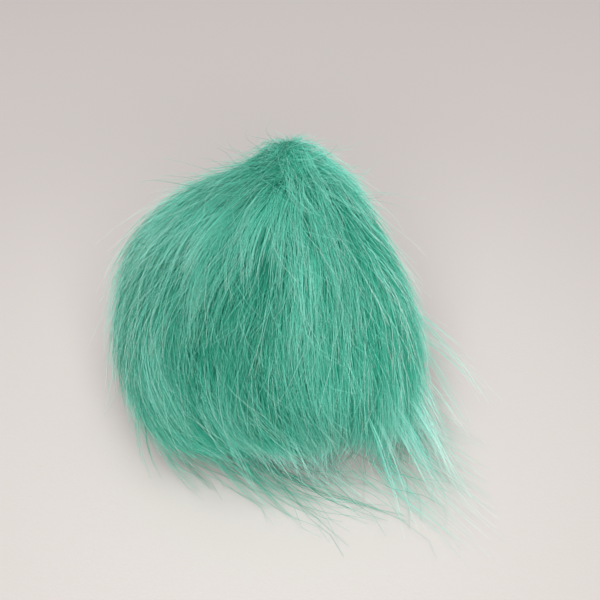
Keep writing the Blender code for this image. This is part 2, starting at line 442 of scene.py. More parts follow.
@dataclass(frozen=True)
class BroadLocks:
    """The wide locks that neighbouring locks are drawn into, with partings between them.

    turn and curl are in radians, pull is how far a lock's tip is drawn, and parting is how
    much lower the pile lies between two broad locks, in metres. The pile's tone is also
    lowered at the partings, a painted shade.
    """

    count: int
    turn: float
    curl: float
    pull: float
    tones: tuple[float, float]
    tone_share: float
    parting: float
    parting_tone: float
    seed: int
    jitter: float = 0.5
    widest: float = 1.3
    late: float = 1.4
    length_spread: tuple[float, float] = (0.90, 1.10)

    def plan(self, pile: PileField) -> LockPlan:
        """Evenly spread roots, each with a turn, a length and a tone of its own."""
        dice = np.random.default_rng(SEED + self.seed)
        ways = even_ways(self.count)
        ways = unit(ways + dice.normal(0.0, self.jitter / math.sqrt(self.count), ways.shape))
        count = len(ways)
        return LockPlan(
            ways=ways, length=pile.lengths(ways) * dice.uniform(*self.length_spread, count),
            slope=pile.row_values(ways, "slope"), turn=dice.uniform(-self.turn, self.turn, count),
            curl=dice.uniform(-self.curl, self.curl, count), lie=pile.row_values(ways, "lie"),
            lift=np.zeros(count), tone=dice.uniform(*self.tones, count),
        )

    def drawn(
        self, comb: LockComb, plan: LockPlan, lines: np.ndarray
    ) -> tuple[LockPlan, np.ndarray]:
        """Locks drawn towards the nearest broad lock on their way to the tip.

        Args:
            comb: Grows the broad locks' lines.
            plan: The locks' own plan.
            lines: The locks' own lines.

        Returns:
            The plan with the broad lock's share in each tone and painted shade at the partings,
            and the drawn lines.
        """
        broad = self.plan(comb.pile)
        close = plan.ways @ broad.ways.T
        nearest = np.argmax(close, axis=1)
        apart = np.arccos(np.clip(close.max(axis=1), -1.0, 1.0)) * math.sqrt(self.count) / 2.0
        border = np.clip(apart, 0.0, self.widest) ** 2
        middle = comb.lines(broad)[nearest]
        growing = np.linspace(0.0, 1.0, lines.shape[1]) ** self.late
        drawn = lines + self.pull * growing[None, :, None] * (middle - lines)
        off = unit(drawn - np.array(comb.pile.centre)) * growing[None, :, None]
        drawn = drawn - self.parting * border[:, None, None] * off
        drawn[:, :, 2] = np.maximum(drawn[:, :, 2], plan.lie[:, None])
        tone = (1.0 - self.tone_share) * plan.tone + self.tone_share * broad.tone[nearest]
        # Locks near a parting are darkened, a painted shade between broad locks.
        return replace(plan, tone=tone - self.parting_tone * border), drawn


def even_ways(count: int) -> np.ndarray:
    """Unit vectors spread evenly over a sphere, in a spiral from top to bottom."""
    places = np.arange(count) + 0.5
    height = 1.0 - 2.0 * places / count
    turn = math.pi * (1.0 + math.sqrt(5.0)) * places
    flat = np.sqrt(1.0 - height**2)
    return np.stack([flat * np.cos(turn), flat * np.sin(turn), height], axis=1)


def slow_waves(points: np.ndarray, size: float, seed: int) -> np.ndarray:
    """A smooth random value from about -1 to 1 that changes slowly from place to place.

    Args:
        points: The places, one a row.
        size: The size of the patches in which it keeps its sign.
        seed: Picks the waves.

    Returns:
        The value at each place.
    """
    dice = np.random.default_rng(seed)
    waves = dice.normal(0.0, math.pi / size, (8, 3))
    starts = dice.uniform(0.0, math.tau, 8)
    return np.sin(points @ waves.T + starts).sum(axis=1) / 2.8


@dataclass(frozen=True)
class NodeBench:
    """Adds nodes to one tree and joins them."""

    tree: bpy.types.NodeTree

    def add(self, kind: str, settings: dict | None = None, **inputs: object) -> bpy.types.Node:
        """A new node, with its settings made and its inputs joined or set.

        Args:
            kind: Blender's name for the node's type.
            settings: Properties of the node by name.
            inputs: Sockets by identifier, with _ for a space. Each is joined to another
                node's output, or set to a plain value.

        Returns:
            The node.
        """
        node = self.tree.nodes.new(kind)
        for name, value in (settings or {}).items():
            setattr(node, name, value)
        for name, value in inputs.items():
            self.put(self.socket(node, name), value)
        return node

    def put(self, socket: bpy.types.NodeSocket, value: object) -> None:
        """Joins a socket to another node's output, or sets its value."""
        if isinstance(value, bpy.types.NodeSocket):
            self.tree.links.new(value, socket)
        else:
            socket.default_value = value

    @staticmethod
    def socket(node: bpy.types.Node, name: str) -> bpy.types.NodeSocket:
        """An input of a node, by its identifier with _ for a space."""
        return next(s for s in node.inputs if s.identifier.replace(" ", "_") == name)

    def maths(self, sort: str, *values: object) -> bpy.types.NodeSocket:
        """The result of a Math node.

        Args:
            sort: The node's operation.
            values: Its inputs, joined or plain.

        Returns:
            The node's output.
        """
        node = self.add("ShaderNodeMath", {"operation": sort})
        for socket, value in zip(node.inputs, values, strict=False):
            self.put(socket, value)
        return node.outputs[0]

    def vectors(self, sort: str, **inputs: object) -> bpy.types.NodeSocket:
        """The vector result of a Vector Math node with these inputs."""
        return self.add("ShaderNodeVectorMath", {"operation": sort}, **inputs).outputs[0]

    def mixed(self, share: object, low: object, high: object) -> bpy.types.NodeSocket:
        """A number between two others, by a share."""
        node = self.add("ShaderNodeMix", None, Factor_Float=share, A_Float=low, B_Float=high)
        return node.outputs[0]


@dataclass(frozen=True)
class FibreSizes:
    """The sizes of the fibres in one piece, as the fibre tree takes them."""

    fibres: int = 23
    points: int = 5
    root_spread: float = 0.0022
    tip_spread: float = 0.0016
    fluff: float = 0.0070
    frizz: float = 0.0003
    shortest: float = 0.55
    longest: float = 1.0
    root_width: float = 0.00016
    tip_width: float = 0.00005
    lie: float = 0.0004
    tone_spread: float = 0.10
    outer_tone: float = 0.60
    seed: int = 0

    def inputs(self, finish: bpy.types.Material) -> dict[str, object]:
        """The values for the tree's named inputs."""
        return {INPUT_NAMES[key]: value for key, value in vars(self).items()} | {"Fur": finish}


INPUT_NAMES = {
    "fibres": "Fibres in a lock",
    "points": "Points in a fibre",
    "root_spread": "Root spread",
    "tip_spread": "Tip spread",
    "fluff": "Fluff",
    "frizz": "Frizz",
    "shortest": "Shortest share",
    "longest": "Longest share",
    "root_width": "Root width",
    "tip_width": "Tip width",
    "lie": "Lie",
    "tone_spread": "Tone spread",
    "outer_tone": "Outer painted light",
    "seed": "Seed",
}


def new_surface(name: str) -> tuple[bpy.types.Material, NodeBench, bpy.types.Node]:
    """A new material, the bench that adds its nodes, and its shader."""
    made = bpy.data.materials.new(name)
    made.use_nodes = True
    return made, NodeBench(made.node_tree), made.node_tree.nodes["Principled BSDF"]


def placed(name: str, data: bpy.types.ID) -> bpy.types.Object:
    """A new object of the scene, at the origin."""
    thing = bpy.data.objects.new(name, data)
    bpy.context.scene.collection.objects.link(thing)
    return thing


class FibreTree:
    """The Geometry Nodes tree that grows many tapering fibres along each lock.

    The powers shape how the fibres of a lock stand apart and taper, and how much paler the
    fibres on its outside are painted, a painted light.
    """

    OUTER_POWER = 3.0
    RISE_POWER = 0.7
    LOFT_POWER = 2.2
    TAPER_POWER = 1.3
    PILED_UP = 0.0012
    CURLS_A_METRE = (70.0,) * 3
    CURLS_APART = 37.0
    FRIZZ_GAIN = 6.0
    STRIP_START = 0.15
    STRIP_SHARE = 0.7
    MAP_START = 0.02
    MAP_SHARE = 0.96

    def __init__(self) -> None:
        """Builds the tree."""
        self.tree = bpy.data.node_groups.new("fibres_along_locks", "GeometryNodeTree")
        self.bench = NodeBench(self.tree)
        self.declare_sockets()
        self.start = self.bench.add("NodeGroupInput")
        fibres = self.laid_fibres(self.split_locks())
        self.finish_mesh(self.skinned(fibres))

    def declare_sockets(self) -> None:
        """Names the tree's inputs and its output."""
        sockets = self.tree.interface
        sockets.new_socket("Locks", in_out="INPUT", socket_type="NodeSocketGeometry")
        for key, name in INPUT_NAMES.items():
            whole = isinstance(getattr(FibreSizes, key), int)
            kind = "NodeSocketInt" if whole else "NodeSocketFloat"
            sockets.new_socket(name, in_out="INPUT", socket_type=kind)
        sockets.new_socket("Fur", in_out="INPUT", socket_type="NodeSocketMaterial")
        sockets.new_socket("Fibres", in_out="OUTPUT", socket_type="NodeSocketGeometry")

    def given(self, name: str) -> bpy.types.NodeSocket:
        """One of the tree's inputs."""
        return self.start.outputs[name]

    def dice(self, sort: str, low: object, high: object, seed: int) -> bpy.types.NodeSocket:
        """A random value for each fibre.

        Args:
            sort: FLOAT or FLOAT_VECTOR.
            low: The least value.
            high: The most.
            seed: Added to the tree's seed.

        Returns:
            The value's output.
        """
        mixed = self.bench.maths("ADD", self.given("Seed"), seed)
        names = ("Min", "Max") if sort == "FLOAT_VECTOR" else ("Min_001", "Max_001")
        ends = dict(zip(names, (low, high), strict=True))
        node = self.bench.add("FunctionNodeRandomValue", {"data_type": sort}, Seed=mixed, **ends)
        return next(s for s in node.outputs if s.enabled)

    def stored(
        self, geometry: bpy.types.NodeSocket, name: str, sort: str, domain: str, value: object
    ) -> bpy.types.NodeSocket:
        """A geometry with one more named attribute.

        Args:
            geometry: What gets the attribute.
            name: The attribute's name.
            sort: Its data type.
            domain: What holds a value each.
            value: The value's output.

        Returns:
            The geometry's output.
        """
        node = self.bench.add(
            "GeometryNodeStoreNamedAttribute", {"data_type": sort, "domain": domain}, Name=name
        )
        self.bench.put(node.inputs["Geometry"], geometry)
        self.bench.put(next(s for s in node.inputs if s.name == "Value" and s.enabled), value)
        return node.outputs[0]

    def read(self, name: str, sort: str = "FLOAT") -> bpy.types.NodeSocket:
        """The value of a named attribute."""
        node = self.bench.add("GeometryNodeInputNamedAttribute", {"data_type": sort}, Name=name)
        return next(s for s in node.outputs if s.enabled)

    def split_locks(self) -> bpy.types.NodeSocket:
        """Copies each lock's line once a fibre, and cuts each copy to a length of its own."""
        bench = self.bench
        curve = bench.add("GeometryNodeMeshToCurve", None, Mesh=self.given("Locks"))
        copies = bench.add(
            "GeometryNodeDuplicateElements", {"domain": "SPLINE"}, Geometry=curve.outputs[0],
            Amount=self.given("Fibres in a lock"),
        )
        half = (0.5, 0.5, 0.5)
        low = tuple(-value for value in half)
        place = bench.vectors(
            "ADD", Vector=self.dice("FLOAT_VECTOR", low, half, 1),
            Vector_001=self.dice("FLOAT_VECTOR", low, half, 2),
        )
        fibres = self.stored(copies.outputs[0], "place", "FLOAT_VECTOR", "CURVE", place)
        apart = bench.add("ShaderNodeSeparateXYZ", None, Vector=place).outputs[1]
        # Fibres lifted to the outside of a lock are painted paler, a painted light on the lock.
        outer = bench.maths("POWER", bench.maths("ABSOLUTE", apart), self.OUTER_POWER)
        paler = bench.maths("MULTIPLY", outer, self.given("Outer painted light"))
        chance = self.dice("FLOAT", -1.0, 1.0, 3)
        own = bench.maths("MULTIPLY_ADD", chance, self.given("Tone spread"), paler)
        fibres = self.stored(fibres, "own_tone", "FLOAT", "CURVE", own)
        share = self.dice("FLOAT", self.given("Shortest share"), self.given("Longest share"), 4)
        cut = bench.add("GeometryNodeTrimCurve", {"mode": "FACTOR"}, Curve=fibres, End=share)
        even = bench.add(
            "GeometryNodeResampleCurve", {"mode": "COUNT"}, Curve=cut.outputs[0],
            Count=self.given("Points in a fibre"),
        )
        along = bench.add("GeometryNodeSplineParameter").outputs["Factor"]
        return self.stored(even.outputs[0], "along", "FLOAT", "POINT", along)

    def laid_fibres(self, fibres: bpy.types.NodeSocket) -> bpy.types.NodeSocket:
        """Spreads the fibres across and off their lock, with a little frizz, above the table.

        Args:
            fibres: The fibres, all on their lock's own line.

        Returns:
            The fibres, each in its place.
        """
        bench, along = self.bench, self.read("along")
        place = bench.add("ShaderNodeSeparateXYZ", None, Vector=self.read("place", "FLOAT_VECTOR"))
        wide = bench.mixed(along, self.given("Root spread"), self.given("Tip spread"))
        across = bench.vectors(
            "SCALE", Vector=self.read("lock_side", "FLOAT_VECTOR"),
            Scale=bench.maths("MULTIPLY", wide, place.outputs[0]),
        )
        rise = bench.maths("POWER", along, self.RISE_POWER)
        own = bench.maths("ABSOLUTE", place.outputs[1])
        apart = bench.maths("POWER", own, self.LOFT_POWER)
        high = bench.maths("MULTIPLY", apart, rise)
        above = bench.vectors(
            "SCALE", Vector=self.read("lock_off", "FLOAT_VECTOR"),
            Scale=bench.maths("MULTIPLY", high, self.given("Fluff")),
        )
        run = bench.vectors(
            "CROSS_PRODUCT", Vector=self.read("lock_off", "FLOAT_VECTOR"),
            Vector_001=self.read("lock_side", "FLOAT_VECTOR"),
        )
        onward = bench.vectors(
            "SCALE", Vector=run, Scale=bench.maths("MULTIPLY", wide, place.outputs[2]),
        )
        moved = bench.vectors("ADD", Vector=across, Vector_001=above)
        moved = bench.vectors("ADD", Vector=moved, Vector_001=onward)
        moved = bench.vectors("ADD", Vector=moved, Vector_001=self.frizz(along))
        moving = bench.add("GeometryNodeSetPosition", None, Geometry=fibres, Offset=moved)
        spot = bench.add(
            "ShaderNodeSeparateXYZ", None, Vector=bench.add("GeometryNodeInputPosition").outputs[0]
        )
        rest = bench.maths("MULTIPLY_ADD", own, self.PILED_UP, self.given("Lie"))
        lying = bench.add(
            "ShaderNodeCombineXYZ", None, X=spot.outputs[0], Y=spot.outputs[1],
            Z=bench.maths("MAXIMUM", spot.outputs[2], rest),
        )
        laid = bench.add(
            "GeometryNodeSetPosition", None, Geometry=moving.outputs[0],
            Position=lying.outputs[0],
        )
        return laid.outputs[0]

    def frizz(self, along: bpy.types.NodeSocket) -> bpy.types.NodeSocket:
        """A wander of each fibre's own that grows towards its tip.

        Args:
            along: The share of the fibre's length.

        Returns:
            The wander as a vector.
        """
        bench = self.bench
        place = self.read("place", "FLOAT_VECTOR")
        apart = bench.vectors("SCALE", Vector=place, Scale=self.CURLS_APART)
        here = bench.add("GeometryNodeInputPosition").outputs[0]
        where = bench.vectors(
            "MULTIPLY_ADD", Vector=here, Vector_001=self.CURLS_A_METRE, Vector_002=apart
        )
        noise = bench.add("ShaderNodeTexNoise", None, Vector=where, Scale=1.0, Detail=1.0)
        even = bench.vectors("SUBTRACT", Vector=noise.outputs["Color"], Vector_001=(0.5,) * 3)
        size = bench.maths("MULTIPLY", along, self.given("Frizz"))
        size = bench.maths("MULTIPLY", size, self.FRIZZ_GAIN)
        return bench.vectors("SCALE", Vector=even, Scale=size)

    def skinned(self, fibres: bpy.types.NodeSocket) -> bpy.types.NodeSocket:
        """Gives each fibre a three-sided, closed and tapering skin.

        Args:
            fibres: The fibres as curves.

        Returns:
            The fibres as a mesh.
        """
        bench = self.bench
        circle = bench.add(
            "GeometryNodeCurvePrimitiveCircle", {"mode": "RADIUS"}, Resolution=3, Radius=0.5
        )
        place = bench.maths("MULTIPLY", bench.add("GeometryNodeInputIndex").outputs[0], 0.5)
        profile = self.stored(circle.outputs[0], "round", "FLOAT", "POINT", place)
        thin = bench.maths("POWER", self.read("along"), self.TAPER_POWER)
        width = bench.mixed(thin, self.given("Root width"), self.given("Tip width"))
        skin = bench.add("GeometryNodeCurveToMesh", None, Scale=width, Fill_Caps=True)
        bench.put(skin.inputs["Curve"], fibres)
        bench.put(skin.inputs["Profile Curve"], profile)
        return skin.outputs[0]

    def finish_mesh(self, mesh: bpy.types.NodeSocket) -> None:
        """Writes the fibres' map, smooths and realizes them, and gives them their fur.

        The map's width is the fibre's tone, in narrow strips, and its height is the way along.

        Args:
            mesh: The fibres as a mesh.
        """
        bench = self.bench
        # The tone holds each fibre's random tone and its painted light and shade.
        tone = bench.maths("ADD", self.read("lock_tone"), self.read("own_tone"))
        tone = bench.maths("MINIMUM", bench.maths("MAXIMUM", tone, 0.0), 0.999)
        strip = bench.maths("FLOOR", bench.maths("MULTIPLY", tone, float(TONE_BINS)))
        turned = self.read("round")
        inside = bench.maths("MULTIPLY_ADD", turned, self.STRIP_SHARE, self.STRIP_START)
        across = bench.maths("DIVIDE", bench.maths("ADD", strip, inside), float(TONE_BINS))
        along = self.read("along")
        high = bench.maths("MULTIPLY_ADD", along, self.MAP_SHARE, self.MAP_START)
        place = bench.add("ShaderNodeCombineXYZ", None, X=across, Y=high).outputs[0]
        for name in ("fibre", "OFBake"):
            mesh = self.stored(mesh, name, "FLOAT2", "CORNER", place)
        smooth = bench.add("GeometryNodeSetShadeSmooth", None, Geometry=mesh)
        real = bench.add("GeometryNodeRealizeInstances", None, Geometry=smooth.outputs[0])
        fur = bench.add(
            "GeometryNodeSetMaterial", None, Geometry=real.outputs[0], Material=self.given("Fur")
        )
        end = bench.add("NodeGroupOutput")
        bench.put(end.inputs[0], fur.outputs[0])

    def grow(self, locks: bpy.types.Mesh, sizes: dict[str, object], name: str) -> bpy.types.Object:
        """Runs the tree on a mesh of locks and keeps the result as a plain piece.

        Args:
            locks: The locks as strings of edges.
            sizes: The values for the tree's named inputs.
            name: The piece's name.

        Returns:
            The piece, with no modifier left on it.
        """
        piece = placed(name, locks)
        growing = piece.modifiers.new("fibres", "NODES")
        growing.node_group = self.tree
        for item in self.tree.interface.items_tree:
            if item.item_type == "SOCKET" and item.name in sizes:
                growing[item.identifier] = sizes[item.name]
        graph = bpy.context.evaluated_depsgraph_get()
        mesh = bpy.data.meshes.new_from_object(piece.evaluated_get(graph))
        mesh.name = name
        piece.modifiers.remove(growing)
        piece.data = mesh
        bpy.data.meshes.remove(locks)
        for key in ("lock_side", "lock_off", "lock_tone", "own_tone", "place", "along", "round"):
            if key in mesh.attributes:
                mesh.attributes.remove(mesh.attributes[key])
        return piece


@dataclass(frozen=True)
class PileFinish:
    """Shiny synthetic fibres: deep at the root, mint along their length, paler at the tip.

    Each list of stops holds pairs of the share of a fibre's length and the colour there, for
    the dullest and for the brightest fibres.
    """

    name: str = "mint_pile"
    dull: tuple[tuple[float, Colour], ...] = (
        (0.00, (0.008, 0.230, 0.145)),
        (0.35, (0.010, 0.310, 0.195)),
        (0.80, (0.020, 0.400, 0.265)),
        (1.00, (0.110, 0.530, 0.400)),
    )
    bright: tuple[tuple[float, Colour], ...] = (
        (0.00, (0.050, 0.480, 0.345)),
        (0.35, (0.170, 0.800, 0.625)),
        (0.80, (0.310, 0.830, 0.695)),
        (1.00, (0.540, 0.815, 0.730)),
    )
    specular: float = 0.40
    rough_root: float = 0.50
    rough_middle: float = 0.30

    def material(self) -> bpy.types.Material:
        """The finish as a material that reads the fibres' own map."""
        fur, bench, shader = new_surface(self.name)
        shader.inputs["Specular IOR Level"].default_value = self.specular
        place = bench.add("ShaderNodeUVMap", {"uv_map": "fibre"}).outputs[0]
        parts = bench.add("ShaderNodeSeparateXYZ", None, Vector=place)
        strip = bench.maths("FLOOR", bench.maths("MULTIPLY", parts.outputs[0], float(TONE_BINS)))
        tone = bench.maths("DIVIDE", strip, float(TONE_BINS - 1))
        along = parts.outputs[1]
        colour = bench.add(
            "ShaderNodeMix", {"data_type": "RGBA"}, Factor_Float=tone,
            A_Color=self.ramp(bench, along, self.dull),
            B_Color=self.ramp(bench, along, self.bright),
        )
        bench.put(shader.inputs["Base Color"], next(s for s in colour.outputs if s.enabled))
        rough = bench.add(
            "ShaderNodeMapRange", {"interpolation_type": "SMOOTHSTEP"}, Value=along,
            From_Min=0.05, From_Max=0.60, To_Min=self.rough_root, To_Max=self.rough_middle,
        )
        bench.put(shader.inputs["Roughness"], rough.outputs[0])
        return fur

    @staticmethod
    def ramp(
        bench: NodeBench, share: bpy.types.NodeSocket, stops: tuple[tuple[float, Colour], ...]
    ) -> bpy.types.NodeSocket:
        """A colour ramp.

        Args:
            bench: Adds the node.
            share: What the ramp is read at.
            stops: Pairs of place and colour, from 0 to 1.

        Returns:
            The colour's output.
        """
        node = bench.add("ShaderNodeValToRGB", None, Fac=share)
        steps = node.color_ramp.elements
        while len(steps) < len(stops):
            steps.new(0.5)
        for step, (place, colour) in zip(steps, stops, strict=True):
            step.position = place
            step.color = (*colour, 1.0)
        return node.outputs["Color"]


# A paler copy of the pile's finish for the tufts, loose fibres and crown brush: the extra paleness
# is painted light, standing in for light through thin fibres and their missing shade.
PAINTED_PALE_FINISH = PileFinish(
    name="pale_mint_pile",
    dull=(
        (0.00, (0.020, 0.340, 0.240)),
        (0.35, (0.080, 0.580, 0.440)),
        (0.80, (0.220, 0.720, 0.600)),
        (1.00, (0.420, 0.820, 0.730)),
    ),
    bright=(
        (0.00, (0.100, 0.600, 0.460)),
        (0.35, (0.360, 0.850, 0.740)),
        (0.80, (0.620, 0.860, 0.790)),
        (1.00, (0.780, 0.870, 0.830)),
    ),
)


@dataclass(frozen=True)
class UndercoatFinish:
    """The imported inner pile: deep green in fine strands that run down from the crown."""

    name: str = "mint_undercoat"
    deep: Colour = (0.008, 0.205, 0.135)
    light: Colour = (0.020, 0.380, 0.250)
    roughness: float = 0.7
    strand_depth: float = 0.0006

    def material(self) -> bpy.types.Material:
        """The finish as a material that reads the strands' own directions."""
        fur, bench, shader = new_surface(self.name)
        shader.inputs["Roughness"].default_value = self.roughness
        ways = bench.add("ShaderNodeAttribute", {"attribute_name": "combed"}).outputs["Vector"]
        strands = bench.add(
            "ShaderNodeTexNoise", None, Vector=ways, Scale=1.0, Detail=3.0, Roughness=0.6
        )
        colour = PileFinish.ramp(
            bench, strands.outputs[0], ((0.30, self.deep), (0.70, self.light))
        )
        bench.put(shader.inputs["Base Color"], colour)
        relief = bench.add(
            "ShaderNodeBump", None, Height=strands.outputs[0], Distance=self.strand_depth
        )
        bench.put(shader.inputs["Normal"], relief.outputs[0])
        return fur


@dataclass(frozen=True)
class Undercoat:
    """The dense ball of short pile that the long fibres grow out of."""

    pile: PileField
    finish: UndercoatFinish = field(default_factory=UndercoatFinish)
    fineness: int = 6
    sunk: float = 0.0006
    strands: float = 16.0
    strand_rows: float = 1.6

    def build(self) -> bpy.types.Object:
        """Makes and dresses the ball, flat where it rests on the table.

        Returns:
            The piece.
        """
        ball = bmesh.new()
        bmesh.ops.create_icosphere(ball, subdivisions=self.fineness, radius=1.0)
        to_crown = Vector((0.0, 0.0, 1.0)).rotation_difference(Vector(self.pile.crown_way()))
        ways = np.array([to_crown @ vert.co.normalized() for vert in ball.verts])
        reach = self.pile.reach(ways) - self.sunk
        points = np.array(self.pile.centre) + ways * reach[:, None]
        points[:, 2] = np.maximum(points[:, 2], 0.0)
        for vert, point in zip(ball.verts, points, strict=True):
            vert.co = point
        for face in ball.faces:
            face.smooth = True
        mesh = bpy.data.meshes.new("fur_undercoat")
        ball.to_mesh(mesh)
        ball.free()
        turned, off = self.pile.turned(ways), self.pile.off_crown(ways)
        combed = np.stack(
            [
                self.strands * np.cos(turned),
                self.strands * np.sin(turned),
                self.strand_rows * off,
            ],
            axis=1,
        )
        column = mesh.attributes.new("combed", "FLOAT_VECTOR", "POINT")
        column.data.foreach_set("vector", combed.astype(np.float32).ravel())
        mesh.materials.append(self.finish.material())
        piece = placed("fur_undercoat", mesh)
        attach(piece, BODY)
        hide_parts(SOLID)
        return piece


BROAD_LOCKS = (
    BroadLocks(
        count=560, turn=math.radians(7), curl=math.radians(12), pull=0.34, tones=(0.0, 0.90),
        tone_share=0.34, parting=0.0008, parting_tone=0.10, seed=20,
    ),
    BroadLocks(
        count=110, turn=math.radians(10), curl=math.radians(16), pull=0.36, tones=(-0.10, 0.96),
        tone_share=0.46, parting=0.0018, parting_tone=0.18, seed=0,
    ),
)


@dataclass(frozen=True)
class LongPile:
    """The long pile all over the ball, one piece for each side.

    The ball is bare below bare_below, a share of its radius at each of bare_sides. The hems are
    the heights in mm at which the pile ends at each of hem_sides. Sides are in degrees.
    """

    pile: PileField
    comb: LockComb
    tree: FibreTree
    fur: bpy.types.Material
    locks: int = 3900
    all_locks_by_crown: int = 2160
    crown_reach: float = math.radians(33)
    jitter: float = 0.012
    longer: float = 1.34
    length_spread: tuple[float, float] = (0.88, 1.12)
    slope_spread: tuple[float, float] = (0.45, 1.0)
    lift_spread: tuple[float, float] = (-0.0010, 0.0008)
    turn: float = math.radians(4)
    slow_turn: float = math.radians(19)
    slow_turn_patch: float = 0.024
    curl: float = math.radians(8)
    tone: float = 0.42
    own_tones: float = 0.30
    slow_tones: float = 0.15
    slow_tone_patch: float = 0.016
    spot_tones: float = 1.25
    lowest: float = -0.80
    bare_sides: tuple[float, ...] = (-180, -150, -132, -40, -15, 180)
    bare_below: tuple[float, ...] = (-0.80, -0.80, -0.48, -0.48, -0.80, -0.80)
    hem_sides: tuple[float, ...] = (-180, -150, -125, -100, -75, -50, -25, 10, 40, 90, 180)
    hems: tuple[float, ...] = (9.0, 10.0, 24.0, 31.0, 25.0, 20.0, 15.0, 7.0, 5.0, 7.0, 7.0)
    hem_spread: tuple[float, float] = (0.75, 1.2)
    hem_of_root: float = 0.6
    sizes: FibreSizes = field(default_factory=lambda: FibreSizes(fibres=7))

    def plan(self) -> LockPlan:
        """Roots all over the ball, but for the spot that it rests on."""
        dice = np.random.default_rng(SEED + 1)
        ways = even_ways(self.locks)
        more = even_ways(self.all_locks_by_crown)
        near = self.pile.off_crown(more) < self.crown_reach
        ways = np.concatenate([ways, more[near]])
        ways = unit(ways + dice.normal(0.0, self.jitter, ways.shape))
        ways = ways[ways[:, 2] > self.lowest]
        count = len(ways)
        lengths = self.pile.lengths(ways) * self.longer
        slow = slow_waves(ways * self.pile.radius, self.slow_turn_patch, SEED) * self.slow_turn
        plan = LockPlan(
            ways=ways, length=lengths * dice.uniform(*self.length_spread, count),
            slope=self.pile.row_values(ways, "slope") * dice.uniform(*self.slope_spread, count),
            turn=slow + dice.uniform(-self.turn, self.turn, count),
            curl=dice.uniform(-self.curl, self.curl, count),
            lie=self.pile.row_values(ways, "lie"), lift=dice.uniform(*self.lift_spread, count),
            tone=self.tone + dice.uniform(-self.own_tones, self.own_tones, count),
        )
        return plan.part(ways[:, 2] > np.interp(sides_of(ways), self.bare_sides, self.bare_below))

    def shaded(self, plan: LockPlan, lines: np.ndarray) -> LockPlan:
        """The plan with each lock's tone for the place where most of it shows: a slow random
        tone, and the pile field's painted light and shade.
        """
        ways = unit(lines[:, SHOWN_POINT] - np.array(self.pile.centre))
        slow = slow_waves(ways * self.pile.radius, self.slow_tone_patch, SEED + 4)
        # The second term paints light and shade on the pile's tone.
        tones = self.slow_tones * slow + self.spot_tones * self.pile.brighter(ways)
        return replace(plan, tone=plan.tone + tones)

    def side_of(self, ways: np.ndarray) -> np.ndarray:
        """The side of the ball that each root is on.

        Args:
            ways: Unit vectors from the ball's middle to the roots.

        Returns:
            The side's place in the list of sides, for each root.
        """
        angle = sides_of(ways)
        order = list(Side)
        sides = np.full(len(ways), order.index(Side.LEFT))
        for side, (start, end) in SIDE_LIMITS.items():
            sides[(angle > start) & (angle <= end)] = order.index(side)
        sides[self.pile.off_crown(ways) < CROWN_LIMIT] = order.index(Side.CROWN)
        return sides

    def build(self) -> list[bpy.types.Object]:
        """Grows the long pile.

        Returns:
            One piece for each side.
        """
        plan = self.plan()
        lines = self.comb.lines(plan)
        for broad in BROAD_LOCKS:
            plan, lines = broad.drawn(self.comb, plan, lines)
        tones = self.shaded(plan, lines).tone
        dice = np.random.default_rng(SEED + 3)
        hems = 0.001 * np.interp(sides_of(plan.ways), self.hem_sides, self.hems)
        hems = hems * dice.uniform(*self.hem_spread, len(hems))
        lines = self.comb.hemmed(lines, np.minimum(hems, self.hem_of_root * lines[:, 0, 2]))
        sides = self.side_of(plan.ways)
        made = []
        for place, side in enumerate(Side):
            chosen = sides == place
            name = f"pile_{side.value}"
            locks = self.comb.lock_mesh(lines[chosen], tones[chosen], name)
            made.append(self.tree.grow(locks, self.sizes.inputs(self.fur), name))
        return made


class LoosePiece:
    """A piece that grows from its own plan, on top of the long pile."""

    def build(
        self, pile: PileField, comb: LockComb, tree: FibreTree, fur: bpy.types.Material
    ) -> bpy.types.Object:
        """Grows the locks or fibres that stay inside the room.

        Args:
            pile: The ball that they grow on.
            comb: Grows their lines.
            tree: Gives them their fibres.
            fur: Their finish.

        Returns:
            The piece.
        """
        plan = comb.within(self.plan(pile))
        locks = comb.lock_mesh(comb.lines(plan), plan.tone, self.name)
        return tree.grow(locks, self.sizes.inputs(fur), self.name)


@dataclass(frozen=True)
class TableTufts(LoosePiece):
    """A set of tufts that run out over the table in the way the pile is swept.

    low and high are the least and most height of the roots, as shares of the ball's radius,
    kept is the share of the tufts that grow at each of the sides, in degrees, and slopes are
    the rise off the ball for each metre of length. lean turns all of them, and wander and curl
    are the most that each turns at its root and on its way, all in radians.
    """

    name: str
    locks: int
    sides: tuple[float, ...]
    kept: tuple[float, ...]
    sizes: FibreSizes
    low: float = -0.66
    high: float = -0.20
    longer: tuple[float, float] = (0.98, 1.30)
    slopes: tuple[float, float] = (0.06, 0.12)
    wander: float = 0.16
    lean: float = 0.0
    curl: float = 0.25
    tones: tuple[float, float] = (0.20, 0.90)
    pale: bool = False
    seed: int = 5
    slow_turn: float = math.radians(10)
    slow_turn_patch: float = 0.016
    lie_share: float = 0.7

    def plan(self, pile: PileField) -> LockPlan:
        """The tufts' roots and how each grows.

        Args:
            pile: The ball that they grow on.

        Returns:
            The plan.
        """
        dice = np.random.default_rng(SEED + self.seed)
        ways = even_ways(self.locks)
        ways = ways[(ways[:, 2] > self.low) & (ways[:, 2] < self.high)]
        kept = np.interp(sides_of(ways), self.sides, self.kept)
        ways = ways[dice.uniform(0.0, 1.0, len(ways)) < kept]
        count = len(ways)
        slow = slow_waves(ways * pile.radius, self.slow_turn_patch, SEED) * self.slow_turn
        return LockPlan(
            ways=ways, length=pile.lengths(ways) * dice.uniform(*self.longer, count),
            slope=dice.uniform(*self.slopes, count),
            turn=self.lean + slow + dice.uniform(-self.wander, self.wander, count),
            curl=dice.uniform(-self.curl, self.curl, count),
            lie=pile.row_values(ways, "lie") * self.lie_share, lift=np.zeros(count),
            tone=dice.uniform(*self.tones, count),
        )


